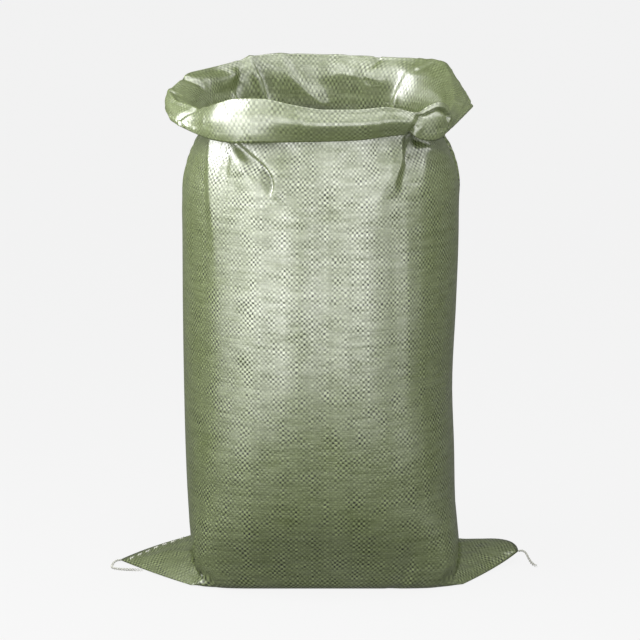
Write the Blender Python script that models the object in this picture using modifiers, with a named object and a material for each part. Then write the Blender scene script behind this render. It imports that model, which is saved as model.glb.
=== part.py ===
"""A sack of cement, full and standing open on a level floor.

The sack is a tube of woven plastic tape, sewn shut across its bottom. The filling squares
the bottom into a flat base and leaves the tube's two corners lying on the floor as ears.
The mouth is open, and the top of the tube is turned down outside as a cuff. Metres, +Z up.
The front faces -Y, and the origin is on the floor, under the middle of the base.
"""

import math
from collections import namedtuple

import bmesh
import bpy
import numpy as np
from mathutils import Vector

# Driving dimensions
WALL = 0.003
CLEARANCE = 0.0005
FILL_SIDE_CLEARANCE = 0.0011
GIRTH_POINTS = 48
OUTLINE_SAMPLES = 1441
EDGE_RADIUS = 0.009
EDGE_STEPS = 3
NECK_HEIGHT = 0.530
FILL_HEIGHT = 0.458
FILL_CROWN = 0.010
FILL_HEAP = ((1.0, 0.0), (0.82, 0.35), (0.50, 0.80), (0.18, 1.0))
THREAD_RADIUS = 0.0006
THREAD_CLEARANCE = 0.0007
TAIL_RADIUS = 0.001

# The outline at one height: how far it reaches to the left, to the right, and to the front
# and back, and how square it is, from 2 for an ellipse towards 9 for a box.
Level = namedtuple("Level", "height left right depth squareness")

BODY_LEVELS = (
    Level(0.000, 0.1380, 0.1540, 0.1035, 9.0),
    Level(0.035, 0.1490, 0.1610, 0.1170, 5.5),
    Level(0.085, 0.1545, 0.1575, 0.1350, 3.2),
    Level(0.150, 0.1575, 0.1560, 0.1480, 2.6),
    Level(0.220, 0.1590, 0.1535, 0.1550, 2.3),
    Level(0.320, 0.1600, 0.1575, 0.1580, 2.1),
    Level(0.440, 0.1600, 0.1600, 0.1560, 2.1),
    Level(0.470, 0.1570, 0.1590, 0.1520, 2.1),
    Level(0.500, 0.1470, 0.1490, 0.1430, 2.15),
    Level(0.518, 0.1380, 0.1390, 0.1340, 2.2),
    Level(NECK_HEIGHT, 0.1340, 0.1340, 0.1280, 2.3),
)
BODY_HEIGHTS = (
    0.020, 0.035, 0.058, 0.085, 0.120, 0.165, 0.220, 0.290,
    0.365, 0.420, 0.450, 0.472, 0.490, 0.505, 0.518, NECK_HEIGHT,
)

# The collar, as outlines that flare from the neck to the fold and hang outside it again.
# Each stage gives its outline and its share of the way from the height below to the fold,
# or from the fold down to the cuff's edge.
FLARE_STAGES = (
    (Level(None, 0.143, 0.137, 0.1270, 2.3), 0.40),
    (Level(None, 0.157, 0.143, 0.1300, 2.25), 0.75),
    (Level(None, 0.168, 0.150, 0.1340, 2.2), 0.97),
)
FOLD_OUTLINE = Level(None, 0.1720, 0.1550, 0.1380, 2.2)
CUFF_STAGES = (
    (Level(None, 0.1755, 0.1600, 0.1420, 2.2), 0.06),
    (Level(None, 0.1785, 0.1665, 0.1460, 2.2), 0.40),
    (Level(None, 0.1785, 0.1715, 0.1480, 2.2), 0.75),
    (Level(None, 0.1755, 0.1735, 0.1480, 2.2), 1.00),
)

# Heights round the collar, by the share of the girth from the front middle towards +X.
Round = namedtuple("Round", "share height")

FOLD_HEIGHTS = (
    Round(0.00, 0.571),
    Round(0.07, 0.571),
    Round(0.13, 0.561),
    Round(0.19, 0.567),
    Round(0.25, 0.576),
    Round(0.34, 0.583),
    Round(0.50, 0.581),
    Round(0.62, 0.582),
    Round(0.70, 0.573),
    Round(0.76, 0.563),
    Round(0.84, 0.559),
    Round(0.90, 0.577),
    Round(0.95, 0.579),
)
CUFF_HEIGHTS = (
    Round(0.00, 0.540),
    Round(0.11, 0.543),
    Round(0.18, 0.534),
    Round(0.25, 0.549),
    Round(0.34, 0.545),
    Round(0.60, 0.541),
    Round(0.74, 0.536),
    Round(0.86, 0.533),
)

# An ear is one flat bottom corner of the tube: two layers of fabric between the tip and
# the line from root to root where it meets the body. Its inner roots are inside the body.
Ear = namedtuple("Ear", "tip back_bow back_root front_bow front_root inner_back inner_front")

LEFT_EAR = Ear(
    tip=Vector((-0.2370, 0.026, 0.0010)),
    back_bow=Vector((-0.1970, 0.054, 0.0105)),
    back_root=Vector((-0.1500, 0.076, 0.0190)),
    front_bow=Vector((-0.1890, -0.040, 0.0005)),
    front_root=Vector((-0.1370, -0.1025, 0.0005)),
    inner_back=Vector((-0.1100, 0.074, 0.0180)),
    inner_front=Vector((-0.1050, -0.1000, 0.0010)),
)
RIGHT_EAR = Ear(
    tip=Vector((0.2330, 0.020, 0.0130)),
    back_bow=Vector((0.2150, 0.062, 0.0170)),
    back_root=Vector((0.1600, 0.072, 0.0110)),
    front_bow=Vector((0.2010, -0.022, 0.0025)),
    front_root=Vector((0.1540, -0.1025, 0.0005)),
    inner_back=Vector((0.1200, 0.070, 0.0110)),
    inner_front=Vector((0.1200, -0.1000, 0.0010)),
)
EAR_EDGE = 0.003
EAR_PUFF = 0.011
EAR_SHARES = (0.03, 0.12, 0.28, 0.46, 0.64, 0.82, 1.0)
EAR_ACROSS = 6
HEM_INSET = 0.07
THREAD_SHARES = (0.10, 0.90)
THREAD_POINTS = 15

# The free ends of the sewing thread, from the tips of the ears to where they stop.
LEFT_TAIL_ROUTE = (
    (-0.2352, 0.0245, 0.0029),
    (-0.2392, 0.0222, 0.0030),
    (-0.2425, 0.0170, 0.0028),
    (-0.2446, 0.0080, 0.0018),
    (-0.2452, 0.0005, 0.0014),
    (-0.2436, -0.0066, 0.0014),
    (-0.2386, -0.0112, 0.0014),
    (-0.2310, -0.0136, 0.0014),
    (-0.2210, -0.0154, 0.0014),
    (-0.2080, -0.0178, 0.0014),
)
RIGHT_TAIL_ROUTE = (
    (0.2333, 0.0206, 0.0146),
    (0.2356, 0.0192, 0.0155),
    (0.2382, 0.0168, 0.0158),
    (0.2410, 0.0148, 0.0146),
    (0.2434, 0.0126, 0.0112),
    (0.2456, 0.0102, 0.0072),
    (0.2482, 0.0074, 0.0038),
    (0.2512, 0.0044, 0.0019),
    (0.2548, 0.0010, 0.0014),
)
TAIL_POINTS = 22


def clear_scene():
    for thing in list(bpy.data.objects):
        bpy.data.objects.remove(thing, do_unlink=True)


def collection(name):
    made = bpy.data.collections.new(name)
    bpy.context.scene.collection.children.link(made)
    return made


def material(name, colour, roughness):
    made = bpy.data.materials.new(name)
    made.use_nodes = True
    shader = made.node_tree.nodes["Principled BSDF"]
    shader.inputs["Base Color"].default_value = (*colour, 1.0)
    shader.inputs["Roughness"].default_value = roughness
    shader.inputs["Metallic"].default_value = 0.0
    made.diffuse_color = (*colour, 1.0)
    return made


def smooth_value(places, values, at):
    """A smooth curve through the values given at rising places, read at one place."""
    slopes = np.gradient(values, places)
    span = int(np.clip(np.searchsorted(places, at) - 1, 0, len(places) - 2))
    width = places[span + 1] - places[span]
    t = (at - places[span]) / width
    return (
        values[span] * (1 + 2 * t) * (1 - t) ** 2
        + values[span + 1] * t * t * (3 - 2 * t)
        + slopes[span] * width * t * (1 - t) ** 2
        + slopes[span + 1] * width * t * t * (t - 1)
    )


def level_at(height):
    """The body's outline at a height between its stated levels."""
    heights = [level.height for level in BODY_LEVELS]
    fields = list(zip(*BODY_LEVELS))[1:]
    return Level(height, *(smooth_value(heights, field, height) for field in fields))


def height_round(table, share):
    """The height at a share of the girth, from a table that closes on itself."""
    before = Round(table[-1].share - 1.0, table[-1].height)
    after = [Round(1.0 + point.share, point.height) for point in table[:2]]
    shares, heights = zip(before, *table, *after)
    return smooth_value(shares, heights, share)


def outline(level, inset=0.0, count=GIRTH_POINTS):
    """Points evenly spaced along a level's outline, from the front middle towards +X."""
    turn = np.linspace(-math.pi / 2, 1.5 * math.pi, OUTLINE_SAMPLES)
    across = np.where(np.cos(turn) < 0, level.left, level.right) - inset
    deep = level.depth - inset
    reach = (np.abs(np.cos(turn) / across) ** level.squareness
             + np.abs(np.sin(turn) / deep) ** level.squareness) ** (-1 / level.squareness)
    x, y = reach * np.cos(turn), reach * np.sin(turn)
    walked = np.concatenate([[0.0], np.cumsum(np.hypot(np.diff(x), np.diff(y)))])
    marks = np.linspace(0.0, walked[-1], count, endpoint=False)
    return list(zip(np.interp(marks, walked, x), np.interp(marks, walked, y)))


def level_ring(height, inset=0.0):
    return [Vector((x, y, height)) for x, y in outline(level_at(height), inset)]


def base_rings(radius, inset, floor):
    """The rounded edge between the flat base and the sides."""
    rings = []
    for step in range(EDGE_STEPS + 1):
        angle = step / EDGE_STEPS * math.pi / 2
        height = floor + radius * (1 - math.cos(angle))
        rings.append(level_ring(height, inset + radius * (1 - math.sin(angle))))
    return rings


def collar_rings():
    """From the neck up to the fold, over it, and down outside to the cuff's edge."""
    shares = [point / GIRTH_POINTS for point in range(GIRTH_POINTS)]
    fold = [height_round(FOLD_HEIGHTS, share) for share in shares]
    cuff = [height_round(CUFF_HEIGHTS, share) for share in shares]
    rings = []
    for level, rise in FLARE_STAGES:
        rings.append([Vector((x, y, NECK_HEIGHT + rise * (top - NECK_HEIGHT)))
                      for (x, y), top in zip(outline(level), fold)])
    rings.append([Vector((x, y, top)) for (x, y), top in zip(outline(FOLD_OUTLINE), fold)])
    for level, drop in CUFF_STAGES:
        rings.append([Vector((x, y, top - drop * (top - low)))
                      for (x, y), top, low in zip(outline(level), fold, cuff)])
    return rings


def loft(name, rings, into, close_start, close_end, finish=None):
    """A skin over rings of equal counts, with flat caps where they are asked for.

    Rings that run from the front towards +X, lowest first, give faces that point outwards.
    """
    mesh = bpy.data.meshes.new(name)
    form = bmesh.new()
    loops = [[form.verts.new(point) for point in ring] for ring in rings]
    for lower, upper in zip(loops, loops[1:]):
        for here in range(len(lower)):
            there = (here + 1) % len(lower)
            form.faces.new((lower[here], lower[there], upper[there], upper[here]))
    if close_start:
        form.faces.new(reversed(loops[0]))
    if close_end:
        form.faces.new(loops[-1])
    if close_start and close_end:
        bmesh.ops.recalc_face_normals(form, faces=form.faces)
    form.to_mesh(mesh)
    form.free()
    mesh.shade_smooth()
    made = bpy.data.objects.new(name, mesh)
    into.objects.link(made)
    if finish:
        mesh.materials.append(finish)
    return made


def curve_between(start, bow, end, share):
    """A point on the bowed line that passes through all three points."""
    control = 2 * bow - (start + end) / 2
    return (1 - share) ** 2 * start + 2 * share * (1 - share) * control + share**2 * end


def ear_edges(ear, share):
    back = curve_between(ear.tip, ear.back_bow, ear.back_root, share)
    front = curve_between(ear.tip, ear.front_bow, ear.front_root, share)
    return back, front


def ear_top(ear, share, across):
    """A point on the upper layer, from the back edge at 0 to the front edge at 1."""
    back, front = ear_edges(ear, share)
    puff = EAR_PUFF * share**1.5 * math.sin(math.pi * across)
    return back.lerp(front, across) + Vector((0, 0, EAR_EDGE + puff))


def ear_section(back, front, puff):
    """A closed outline across an ear: the upper layer forwards, then the lower one back."""
    steps = [step / EAR_ACROSS for step in range(EAR_ACROSS + 1)]
    upper = [back.lerp(front, s) + Vector((0, 0, EAR_EDGE + puff * math.sin(math.pi * s)))
             for s in steps]
    lower = [back.lerp(front, s) for s in reversed(steps)]
    return upper + lower


def ear_solid(name, ear, into):
    rings = [ear_section(*ear_edges(ear, share), EAR_PUFF * share**1.5) for share in EAR_SHARES]
    rings.append(ear_section(ear.inner_back, ear.inner_front, EAR_PUFF))
    return loft(name, rings, into, True, True)


def boolean(target, tool, operation):
    step = target.modifiers.new(f"{operation.title()} {tool.name}", "BOOLEAN")
    step.operation = operation
    step.solver = "EXACT"
    step.object = tool


def hide(helper):
    helper.hide_render = True
    helper.display_type = "WIRE"


def sack(parts, cutters, fabric):
    """The woven tube, open at the mouth, with its ears sewn into its bottom."""
    rings = base_rings(EDGE_RADIUS, 0.0, 0.0)
    rings += [level_ring(height) for height in BODY_HEIGHTS]
    rings += collar_rings()
    made = loft("sack", rings, parts, True, False, fabric)
    shell = made.modifiers.new("Wall", "SOLIDIFY")
    shell.thickness = WALL
    shell.offset = -1
    shell.use_even_offset = True
    shell.use_rim = True

    hollow_inset = WALL / 2
    hollow = base_rings(EDGE_RADIUS - hollow_inset, hollow_inset, hollow_inset)
    hollow += [level_ring(height, hollow_inset) for height in BODY_HEIGHTS]
    inside = loft("inside_of_walls", hollow, cutters, True, True)
    hide(inside)
    for name, ear in (("left_ear", LEFT_EAR), ("right_ear", RIGHT_EAR)):
        corner = ear_solid(name, ear, cutters)
        boolean(corner, inside, "DIFFERENCE")
        hide(corner)
        boolean(made, corner, "UNION")
    return made


def cement_fill(parts, cement):
    """The loose cement, heaped a little at its middle."""
    inset = WALL + FILL_SIDE_CLEARANCE
    rings = base_rings(EDGE_RADIUS - WALL, inset, WALL + CLEARANCE)
    rings += [level_ring(height, inset) for height in BODY_HEIGHTS if height < FILL_HEIGHT]
    top = outline(level_at(FILL_HEIGHT), inset)
    rings += [
        [Vector((x * spread, y * spread, FILL_HEIGHT + FILL_CROWN * rise)) for x, y in top]
        for spread, rise in FILL_HEAP
    ]
    return loft("cement_fill", rings, parts, True, True, cement)


def tube(name, route, radius, parts, finish):
    line = bpy.data.curves.new(name, "CURVE")
    line.dimensions = "3D"
    line.bevel_depth = radius
    line.bevel_resolution = 2
    line.use_fill_caps = True
    spline = line.splines.new("POLY")
    spline.points.add(len(route) - 1)
    for place, point in zip(spline.points, route):
        place.co = (*point, 1.0)
    made = bpy.data.objects.new(name, line)
    line.materials.append(finish)
    parts.objects.link(made)
    return made


def seam_thread(name, ear, across, parts, finish):
    """The row of stitches along an ear's hemmed edge, lying on its upper layer."""
    first, last = THREAD_SHARES
    lift = Vector((0, 0, THREAD_RADIUS + THREAD_CLEARANCE))
    steps = np.linspace(first, last, THREAD_POINTS).tolist()
    return tube(name, [ear_top(ear, share, across) + lift for share in steps],
                THREAD_RADIUS, parts, finish)


def smooth_route(route):
    """More points along a smooth line through a cord's own points."""
    places = [0.0]
    for here, there in zip(route, route[1:]):
        places.append(places[-1] + math.dist(here, there))
    marks = [places[-1] * step / (TAIL_POINTS - 1) for step in range(TAIL_POINTS)]
    return [[smooth_value(places, values, mark) for values in zip(*route)] for mark in marks]


def build():
    clear_scene()
    parts = collection("cement_bag")
    cutters = collection("cutters")
    fabric = material("woven_plastic", (0.34, 0.39, 0.25), 0.42)
    cement = material("cement_powder", (0.36, 0.36, 0.35), 0.95)
    thread = material("sewing_thread", (0.72, 0.72, 0.68), 0.70)

    sack(parts, cutters, fabric)
    cement_fill(parts, cement)
    seam_thread("seam_thread_left", LEFT_EAR, HEM_INSET, parts, thread)
    seam_thread("seam_thread_right", RIGHT_EAR, 1 - HEM_INSET, parts, thread)
    tube("thread_tail_left", smooth_route(LEFT_TAIL_ROUTE), TAIL_RADIUS, parts, thread)
    tube("thread_tail_right", smooth_route(RIGHT_TAIL_ROUTE), TAIL_RADIUS, parts, thread)


build()
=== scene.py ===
import math
import random
from collections import namedtuple

import bmesh
import bpy
import numpy as np
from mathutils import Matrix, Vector, noise


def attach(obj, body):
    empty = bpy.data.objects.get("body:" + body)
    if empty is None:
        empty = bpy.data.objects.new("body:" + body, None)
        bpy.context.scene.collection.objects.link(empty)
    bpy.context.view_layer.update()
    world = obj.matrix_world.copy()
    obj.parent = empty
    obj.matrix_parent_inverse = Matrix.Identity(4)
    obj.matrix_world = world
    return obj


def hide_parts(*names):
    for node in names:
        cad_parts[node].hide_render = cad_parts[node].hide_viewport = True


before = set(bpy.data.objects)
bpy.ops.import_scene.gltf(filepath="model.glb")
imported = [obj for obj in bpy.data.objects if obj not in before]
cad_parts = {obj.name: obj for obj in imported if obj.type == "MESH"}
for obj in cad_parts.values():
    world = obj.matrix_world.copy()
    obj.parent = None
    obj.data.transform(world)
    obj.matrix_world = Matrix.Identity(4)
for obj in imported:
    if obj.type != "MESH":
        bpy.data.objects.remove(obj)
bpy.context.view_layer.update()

# The camera looks at the front of the sack through a long lens, from a little above the mouth.
AIM = Vector((-0.0006, 0.0, 0.2973))
VIEW_WIDTH = 0.7443
VIEW_DISTANCE = 6.0
VIEW_ELEVATION = math.radians(12)
SENSOR_WIDTH = 36.0

lens = bpy.data.cameras.new("camera")
lens.sensor_width = SENSOR_WIDTH
lens.lens = SENSOR_WIDTH * VIEW_DISTANCE / VIEW_WIDTH
lens.clip_end = 100
camera = bpy.data.objects.new("camera", lens)
bpy.context.scene.collection.objects.link(camera)
towards = Vector((0, math.cos(VIEW_ELEVATION), -math.sin(VIEW_ELEVATION)))
camera.location = AIM - VIEW_DISTANCE * towards
camera.rotation_euler = towards.to_track_quat("-Z", "Y").to_euler()
bpy.context.scene.camera = camera


# The free ends of the sewing thread: two twisted strands of spun yarn that run out of the hem
# past the tip of each ear and lie on the floor, cut off bare.
STRAND_RADIUS = 0.00070
STRAND_OFFSET = 0.00058
UNRAVELLING = 1.6
TWIST_PITCH = 0.0065
STRAND_STEP = 0.0006
THREAD_COLOUR = (0.62, 0.62, 0.56, 1)
LEFT_TAIL_ROUTE = (
    (-0.2352, 0.0245, 0.0029),
    (-0.2392, 0.0222, 0.0030),
    (-0.2425, 0.0170, 0.0028),
    (-0.2446, 0.0080, 0.0018),
    (-0.2452, 0.0005, 0.0014),
    (-0.2436, -0.0066, 0.0014),
    (-0.2386, -0.0112, 0.0014),
    (-0.2310, -0.0136, 0.0014),
    (-0.2210, -0.0154, 0.0014),
    (-0.2080, -0.0178, 0.0014),
)
RIGHT_TAIL_ROUTE = (
    (0.2333, 0.0206, 0.0146),
    (0.2356, 0.0192, 0.0155),
    (0.2382, 0.0168, 0.0158),
    (0.2410, 0.0148, 0.0146),
    (0.2434, 0.0126, 0.0112),
    (0.2456, 0.0102, 0.0072),
    (0.2482, 0.0074, 0.0038),
    (0.2512, 0.0044, 0.0019),
    (0.2548, 0.0010, 0.0014),
)


class Wire:
    """A value that runs between the nodes of one material. Arithmetic on it adds Math nodes."""

    def __init__(self, nodes, socket=None):
        self.nodes, self.socket = nodes, socket

    def node(self, kind, settings=None, inputs=None, output=0):
        made = self.nodes.new(kind)
        for name, value in (settings or {}).items():
            if name == "stops":
                ramp = made.color_ramp
                while len(ramp.elements) < len(value):
                    ramp.elements.new(1.0)
                for element, (place, colour) in zip(ramp.elements, value):
                    element.position, element.color = place, colour
            else:
                setattr(made, name, value)
        for name, value in (inputs or {}).items():
            if isinstance(value, Wire):
                self.nodes.id_data.links.new(value.socket, made.inputs[name])
            else:
                made.inputs[name].default_value = value
        return Wire(self.nodes, made.outputs[output])

    def math(self, operation, *values):
        return self.node("ShaderNodeMath", {"operation": operation}, dict(enumerate(values)))

    def __add__(self, other):
        return self.math("ADD", self, other)

    def __radd__(self, other):
        return self.math("ADD", other, self)

    def __sub__(self, other):
        return self.math("SUBTRACT", self, other)

    def __rsub__(self, other):
        return self.math("SUBTRACT", other, self)

    def __mul__(self, other):
        return self.math("MULTIPLY", self, other)

    def __rmul__(self, other):
        return self.math("MULTIPLY", other, self)

    def __truediv__(self, other):
        return self.math("DIVIDE", self, other)

    def __pow__(self, other):
        return self.math("POWER", self, other)

    def __mod__(self, other):
        return self.math("FLOORED_MODULO", self, other)


def finish(name):
    """A new material with its shader ready, and a wire to write its nodes with."""
    made = bpy.data.materials.new(name)
    made.use_nodes = True
    shader = made.node_tree.nodes["Principled BSDF"]
    return made, shader, Wire(made.node_tree.nodes)


def feed(shader, **links):
    """Link wires to the shader's sockets, whose names are given with _ for a space."""
    for name, wire in links.items():
        shader.id_data.links.new(wire.socket, shader.inputs[name.replace("_", " ")])


def thread_material():
    made, shader, wire = finish("spun_thread")
    place = wire.node("ShaderNodeTexCoord", output="Object")
    fibres = wire.node("ShaderNodeTexNoise", inputs={"Vector": place, "Scale": 2600.0, "Detail": 3.0})
    dirt = wire.node("ShaderNodeTexNoise", inputs={"Vector": place, "Scale": 140.0, "Detail": 2.0})
    shade = 0.72 + fibres * 0.35 - dirt * 0.22
    colour = wire.node(
        "ShaderNodeMix", {"data_type": "RGBA", "blend_type": "MULTIPLY"},
        {0: 1.0, 6: THREAD_COLOUR, 7: wire.node("ShaderNodeCombineColor", None, {0: shade, 1: shade, 2: shade})},
        output=2)
    bump = wire.node("ShaderNodeBump", None, {"Height": fibres, "Distance": 0.0003, "Strength": 0.6})
    feed(shader, Base_Color=colour, Normal=bump)
    shader.inputs["Roughness"].default_value = 0.8
    return made


def smooth_through(places, values, marks):
    """A smooth curve through the values at rising places, read at the marks."""
    places, values, marks = (np.asarray(part, float) for part in (places, values, marks))
    slopes = np.gradient(values, places, axis=0)
    span = np.clip(np.searchsorted(places, marks, side="right") - 1, 0, len(places) - 2)
    each = (-1,) + (1,) * (values.ndim - 1)
    width = (places[span + 1] - places[span]).reshape(each)
    t = (marks - places[span]).reshape(each) / width
    return (
        values[span] * (1 + 2 * t) * (1 - t) ** 2
        + values[span + 1] * t * t * (3 - 2 * t)
        + slopes[span] * width * t * (1 - t) ** 2
        + slopes[span + 1] * width * t * t * (t - 1)
    )


def walked(points):
    """The distance walked along a line of points, at each point."""
    steps = np.linalg.norm(np.diff(points, axis=0), axis=1)
    return np.concatenate([[0.0], np.cumsum(steps)])


def strand(line, path, radius, taper):
    """One more strand of a thread, thinner towards its end over the taper's share."""
    spline = line.splines.new("POLY")
    spline.points.add(len(path) - 1)
    for number, (place, point) in enumerate(zip(spline.points, path)):
        place.co = (*point, 1.0)
        left = 1 - number / (len(path) - 1)
        place.radius = radius * min(1.0, 0.25 + 0.75 * left / taper) if taper else radius


def as_mesh(line, name, material):
    """A curve's tubes as a mesh object of that name."""
    line.bevel_resolution = 3
    line.use_fill_caps = True
    line.dimensions = "3D"
    source = bpy.data.objects.new(name, line)
    bpy.context.scene.collection.objects.link(source)
    depsgraph = bpy.context.evaluated_depsgraph_get()
    mesh = bpy.data.meshes.new_from_object(source.evaluated_get(depsgraph))
    bpy.data.objects.remove(source)
    mesh.shade_smooth()
    mesh.materials.clear()
    mesh.materials.append(material)
    made = bpy.data.objects.new(name, mesh)
    bpy.context.scene.collection.objects.link(made)
    return made


def twisted_strands(line, route, taper=0.0, unravelling=0.0):
    """Two strands wound round each other along a route."""
    along = walked(route)
    marks = np.arange(0.0, along[-1], STRAND_STEP)
    centre = smooth_through(along, route, marks)
    ahead = np.gradient(centre, axis=0)
    ahead /= np.linalg.norm(ahead, axis=1)[:, None]
    side = np.cross(ahead, (0, 0, 1))
    side /= np.linalg.norm(side, axis=1)[:, None]
    over = np.cross(side, ahead)
    turn = 2 * math.pi * marks / TWIST_PITCH
    loose = (1 + unravelling * (marks / along[-1]) ** 2)[:, None]
    offset = STRAND_OFFSET * loose * (np.cos(turn)[:, None] * side + np.sin(turn)[:, None] * over)
    for way in (1, -1):
        strand(line, centre + way * offset, 1.0, taper)
    return centre


def thread_tail(name, route):
    line = bpy.data.curves.new(name, "CURVE")
    line.bevel_depth = STRAND_RADIUS
    centre = twisted_strands(line, np.array(route), taper=0.22, unravelling=UNRAVELLING)
    made = as_mesh(line, name, spun_thread)
    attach(made, "root")
    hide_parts(name)
    return made


spun_thread = thread_material()
for side, route in (("left", LEFT_TAIL_ROUTE), ("right", RIGHT_TAIL_ROUTE)):
    tail = thread_tail(f"thread_tail_{side}", route)
    tail.name = f"thread_end_{side}"


# The sack: one tube of flat plastic tapes in a plain weave, 1 m round, sewn shut across its
# bottom. The filling squares its bottom and leaves its corners on the floor as flat ears, and
# its top is turned down outside as a cuff.
GIRTH = 1.0
CLOTH = 0.0006
TAPES_ROUND = 340
TAPE = GIRTH / TAPES_ROUND
TAPE_COLOUR = (0.115, 0.147, 0.045, 1)
COLUMNS = 380
# Columns stand closer where the cloth is folded finest: at the right and the left of the front.
CROWDED = ((0.0, 0.22, 0.5), (0.125, 0.045, 1.5), (0.822, 0.030, 1.6))
OUTLINE_SAMPLES = 2881
EDGE_RADIUS = 0.009
NECK_HEIGHT = 0.530

# The outline at one height: how far it reaches to the left, to the right, and to the front
# and back, and how square it is, from 2 for an ellipse towards 9 for a box.
Level = namedtuple("Level", "height left right depth squareness")

BODY_LEVELS = (
    Level(0.000, 0.1380, 0.1540, 0.1035, 9.0),
    Level(0.035, 0.1490, 0.1610, 0.1190, 5.5),
    Level(0.085, 0.1545, 0.1575, 0.1440, 3.2),
    Level(0.150, 0.1575, 0.1560, 0.1545, 2.6),
    Level(0.220, 0.1590, 0.1535, 0.1570, 2.3),
    Level(0.320, 0.1600, 0.1575, 0.1530, 2.15),
    Level(0.400, 0.1600, 0.1600, 0.1470, 2.1),
    Level(0.440, 0.1600, 0.1600, 0.1445, 2.1),
    Level(0.470, 0.1570, 0.1590, 0.1410, 2.1),
    Level(0.500, 0.1470, 0.1490, 0.1365, 2.15),
    Level(0.518, 0.1380, 0.1390, 0.1335, 2.2),
    Level(NECK_HEIGHT, 0.1340, 0.1340, 0.1310, 2.3),
)

# The collar, round from the front middle towards +X: a share of the girth, the place of the
# crest where the cloth turns down, and the place of the cuff's edge below it.
COLLAR = (
    (0.000, (-0.0006, -0.1395, 0.5686), (-0.0006, -0.1330, 0.5314)),
    (0.023, (0.0219, -0.1390, 0.5685), (0.0231, -0.1325, 0.5319)),
    (0.046, (0.0444, -0.1375, 0.5683), (0.0468, -0.1300, 0.5326)),
    (0.079, (0.0760, -0.1310, 0.5706), (0.0784, -0.1235, 0.5366)),
    (0.093, (0.0897, -0.1255, 0.5668), (0.0909, -0.1185, 0.5363)),
    (0.106, (0.1011, -0.1190, 0.5628), (0.1012, -0.1170, 0.5384)),
    (0.117, (0.1114, -0.1125, 0.5606), (0.1103, -0.1150, 0.5316)),
    (0.125, (0.1182, -0.1080, 0.5650), (0.1172, -0.1105, 0.5286)),
    (0.135, (0.1263, -0.1015, 0.5690), (0.1247, -0.1055, 0.5272)),
    (0.147, (0.1355, -0.0920, 0.5709), (0.1322, -0.0990, 0.5266)),
    (0.159, (0.1432, -0.0810, 0.5650), (0.1380, -0.0920, 0.5294)),
    (0.173, (0.1470, -0.0680, 0.5535), (0.1440, -0.0780, 0.5327)),
    (0.198, (0.1493, -0.0450, 0.5537), (0.1549, -0.0520, 0.5381)),
    (0.226, (0.1522, -0.0200, 0.5541), (0.1660, -0.0220, 0.5433)),
    (0.253, (0.1539, 0.0020, 0.5574), (0.1772, 0.0100, 0.5478)),
    (0.279, (0.1545, 0.0280, 0.5635), (0.1709, 0.0340, 0.5543)),
    (0.310, (0.1517, 0.0580, 0.5738), (0.1589, 0.0640, 0.5676)),
    (0.345, (0.1432, 0.0920, 0.5872), (0.1450, 0.0970, 0.5834)),
    (0.366, (0.1283, 0.1060, 0.5865), (0.1308, 0.1120, 0.5662)),
    (0.385, (0.1121, 0.1170, 0.5863), (0.1146, 0.1220, 0.5527)),
    (0.406, (0.0934, 0.1250, 0.5857), (0.0960, 0.1300, 0.5478)),
    (0.443, (0.0582, 0.1345, 0.5857), (0.0595, 0.1390, 0.5463)),
    (0.491, (0.0112, 0.1390, 0.5870), (0.0112, 0.1430, 0.5456)),
    (0.530, (-0.0277, 0.1370, 0.5888), (-0.0277, 0.1420, 0.5458)),
    (0.557, (-0.0535, 0.1320, 0.5888), (-0.0560, 0.1380, 0.5464)),
    (0.585, (-0.0793, 0.1240, 0.5892), (-0.0830, 0.1300, 0.5466)),
    (0.599, (-0.0922, 0.1180, 0.5842), (-0.0971, 0.1250, 0.5450)),
    (0.637, (-0.1234, 0.0970, 0.5793), (-0.1285, 0.1060, 0.5434)),
    (0.679, (-0.1531, 0.0660, 0.5773), (-0.1571, 0.0770, 0.5436)),
    (0.709, (-0.1653, 0.0400, 0.5698), (-0.1703, 0.0500, 0.5434)),
    (0.744, (-0.1763, 0.0200, 0.5625), (-0.1773, 0.0080, 0.5423)),
    (0.778, (-0.1670, -0.0040, 0.5554), (-0.1718, -0.0240, 0.5367)),
    (0.805, (-0.1532, -0.0260, 0.5545), (-0.1608, -0.0480, 0.5341)),
    (0.831, (-0.1389, -0.0520, 0.5543), (-0.1466, -0.0700, 0.5313)),
    (0.850, (-0.1303, -0.0760, 0.5601), (-0.1336, -0.0890, 0.5292)),
    (0.868, (-0.1197, -0.0940, 0.5678), (-0.1208, -0.1050, 0.5279)),
    (0.894, (-0.1012, -0.1120, 0.5765), (-0.1012, -0.1220, 0.5278)),
    (0.920, (-0.0796, -0.1250, 0.5793), (-0.0785, -0.1330, 0.5298)),
    (0.940, (-0.0603, -0.1325, 0.5800), (-0.0581, -0.1370, 0.5310)),
    (0.966, (-0.0344, -0.1380, 0.5741), (-0.0333, -0.1345, 0.5311)),
)

# Between those lines the cloth flares from the neck, by a share of the way out and one of the
# way up, and the cuff stands out a little between the crest and its edge.
FLARE_STAGES = ((0.12, 0.40), (0.44, 0.76), (0.93, 0.970))
CUFF_STAGES = ((0.05, 0.0008), (0.40, 0.0034), (0.75, 0.0022), (1.00, 0.0))
CREST_CROWDING = 1.3
CREST_REACH = 0.010

# How many rows of the mesh each stretch of the cloth has, from the bottom to the mouth.
EAR_LOWER_ROWS = 6
EAR_UPPER_ROWS = 12
BODY_ROWS = 22
SHOULDER_ROWS = 34
COLLAR_ROWS = 54
SHOULDER_FROM = 0.425
CORNER_SPAN = 0.006

# An ear is one flat bottom corner of the tube: two layers of fabric between the tip and
# the line from root to root where it meets the body.
Ear = namedtuple("Ear", "tip back_bow back_root front_bow front_root")

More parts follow.
